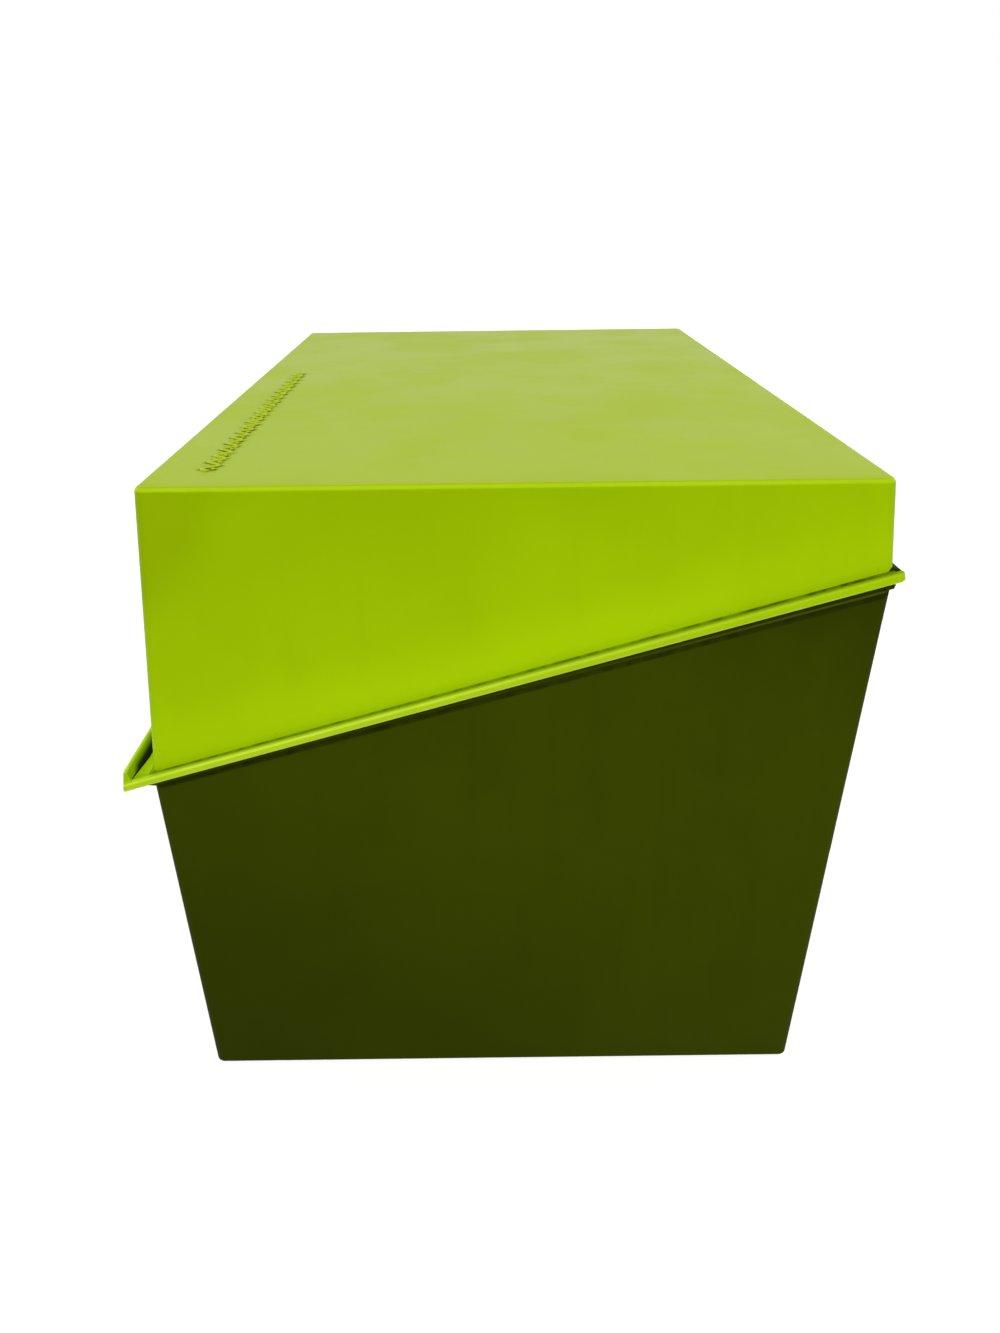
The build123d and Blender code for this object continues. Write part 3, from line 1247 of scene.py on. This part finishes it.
@dataclass
class Studio:
    """White floor, soft lamps and the camera.

    Attributes:
        floor_half: Half the floor's side.
        floor_colour: Colour of the floor.
        floor_fade: Distances from the box between which the light added to the floor changes.
        floor_lift: That light where the floor is looked at, close to the box and far from it.
        sky: Strength of the surrounding light on the object.
        lens: Focal length, for a sensor of 36 mm on the picture's long side.
        shift: Sideways shift of the picture, in parts of its long side.
        eye: Where the camera stands.
        pitch: Angle of its view below the horizon, in degrees.
        roll: Its turn about the view, clockwise, in degrees.
        nearest: Distance from which it sees.
        lamps: The lamps.
    """

    floor_half: float = 6.0
    floor_colour: float = 0.50
    floor_fade: tuple[float, float] = (0.2, 0.8)
    floor_lift: tuple[float, float] = (0.69, 0.95)
    sky: float = 0.32
    lens: float = 27.006
    shift: float = 0.01295
    eye: Point = (217.201 * MM, -2.582 * MM, 145.021 * MM)
    pitch: float = 25.521
    roll: float = 0.71
    nearest: float = 0.01
    lamps: tuple[Lamp, ...] = (
        Lamp("key", (0.86, 0.05, 0.74), side=0.7, power=8.3),
        Lamp("front_fill", (-0.48, -1.02, 0.36), side=0.7, power=6.0),
        Lamp("rear_fill", (-0.70, 0.88, 0.36), side=0.7, power=6.0),
    )

    @staticmethod
    def seen(tree: bpy.types.NodeTree) -> Socket:
        """Whether a ray comes from the camera or by way of a mirror or glass.

        Args:
            tree: Node tree that needs to know.

        Returns:
            One for such a ray and nothing for any other.
        """
        path = tree.nodes.new("ShaderNodeLightPath")
        total = path.outputs["Is Camera Ray"]
        for name in ("Is Glossy Ray", "Is Transmission Ray"):
            larger = tree.nodes.new("ShaderNodeMath")
            larger.operation = "MAXIMUM"
            tree.links.new(total, larger.inputs[0])
            tree.links.new(path.outputs[name], larger.inputs[1])
            total = larger.outputs[0]
        return total

    def world(self) -> None:
        """White surroundings to look at, and an even grey light from them."""
        world = bpy.data.worlds.new("studio")
        world.use_nodes = True
        tree = world.node_tree
        background = tree.nodes["Background"]
        background.inputs["Color"].default_value = (1.0, 1.0, 1.0, 1.0)
        strength = tree.nodes.new("ShaderNodeMapRange")
        tree.links.new(self.seen(tree), strength.inputs["Value"])
        strength.inputs["To Min"].default_value = self.sky
        tree.links.new(strength.outputs["Result"], background.inputs["Strength"])
        bpy.context.scene.world = world

    def floor(self) -> None:
        """Pale floor that shows white where no shadow falls on it."""
        square = np.array([[-1, -1, 0], [1, -1, 0], [1, 1, 0], [-1, 1, 0]], float)
        plane = mesh_piece("floor", self.floor_half * square, [[0, 1, 2, 3]], Shading.FLAT)
        material = bpy.data.materials.new("pale_floor")
        material.use_nodes = True
        tree = material.node_tree
        tree.nodes.clear()
        output = tree.nodes.new("ShaderNodeOutputMaterial")
        diffuse = tree.nodes.new("ShaderNodeBsdfDiffuse")
        diffuse.inputs["Color"].default_value = (*[self.floor_colour] * 3, 1.0)
        glow = tree.nodes.new("ShaderNodeEmission")
        length = tree.nodes.new("ShaderNodeVectorMath")
        length.operation = "LENGTH"
        tree.links.new(tree.nodes.new("ShaderNodeTexCoord").outputs["Object"], length.inputs[0])
        strength = tree.nodes.new("ShaderNodeMapRange")
        tree.links.new(length.outputs["Value"], strength.inputs["Value"])
        names = ("From Min", "From Max", "To Min", "To Max")
        for name, value in zip(names, (*self.floor_fade, *self.floor_lift)):
            strength.inputs[name].default_value = value
        lift = tree.nodes.new("ShaderNodeMath")
        lift.operation = "MULTIPLY"
        tree.links.new(self.seen(tree), lift.inputs[0])
        tree.links.new(strength.outputs["Result"], lift.inputs[1])
        tree.links.new(lift.outputs[0], glow.inputs["Strength"])
        both = tree.nodes.new("ShaderNodeAddShader")
        tree.links.new(diffuse.outputs[0], both.inputs[0])
        tree.links.new(glow.outputs[0], both.inputs[1])
        tree.links.new(both.outputs[0], output.inputs["Surface"])
        dress(plane, material)

    def camera(self) -> None:
        """Camera at the photograph's angle, looking along -X with +Y to its right."""
        pitch, roll = radians(self.pitch), radians(self.roll)
        right = Vector((0.0, 1.0, 0.0))
        up = Vector((-sin(pitch), 0.0, cos(pitch)))
        turned_right = right * cos(roll) - up * sin(roll)
        turned_up = up * cos(roll) + right * sin(roll)
        back = turned_right.cross(turned_up)
        data = bpy.data.cameras.new("camera")
        data.lens = self.lens
        data.shift_x = self.shift
        data.clip_start = self.nearest
        camera = bpy.data.objects.new("camera", data)
        turn = Matrix((turned_right, turned_up, back)).transposed()
        camera.matrix_world = Matrix.Translation(self.eye) @ turn.to_4x4()
        bpy.context.scene.collection.objects.link(camera)
        bpy.context.scene.camera = camera

    def build(self) -> None:
        """Sets the stage round the box."""
        bpy.context.scene.view_settings.view_transform = "Standard"
        self.world()
        self.floor()
        middle = (CAD_BOX[0] + CAD_BOX[1]) / 2.0
        for lamp in self.lamps:
            lamp.build(middle)
        self.camera()
        LOG.info("set the studio with %d lamps", len(self.lamps))


def main() -> None:
    """Dresses the box piece by piece and sets the studio."""
    logging.basicConfig(level=logging.INFO, format="%(name)s: %(message)s")
    Base().build()
    Lid().build()
    Studio().build()


if __name__ == "__main__":
    main()
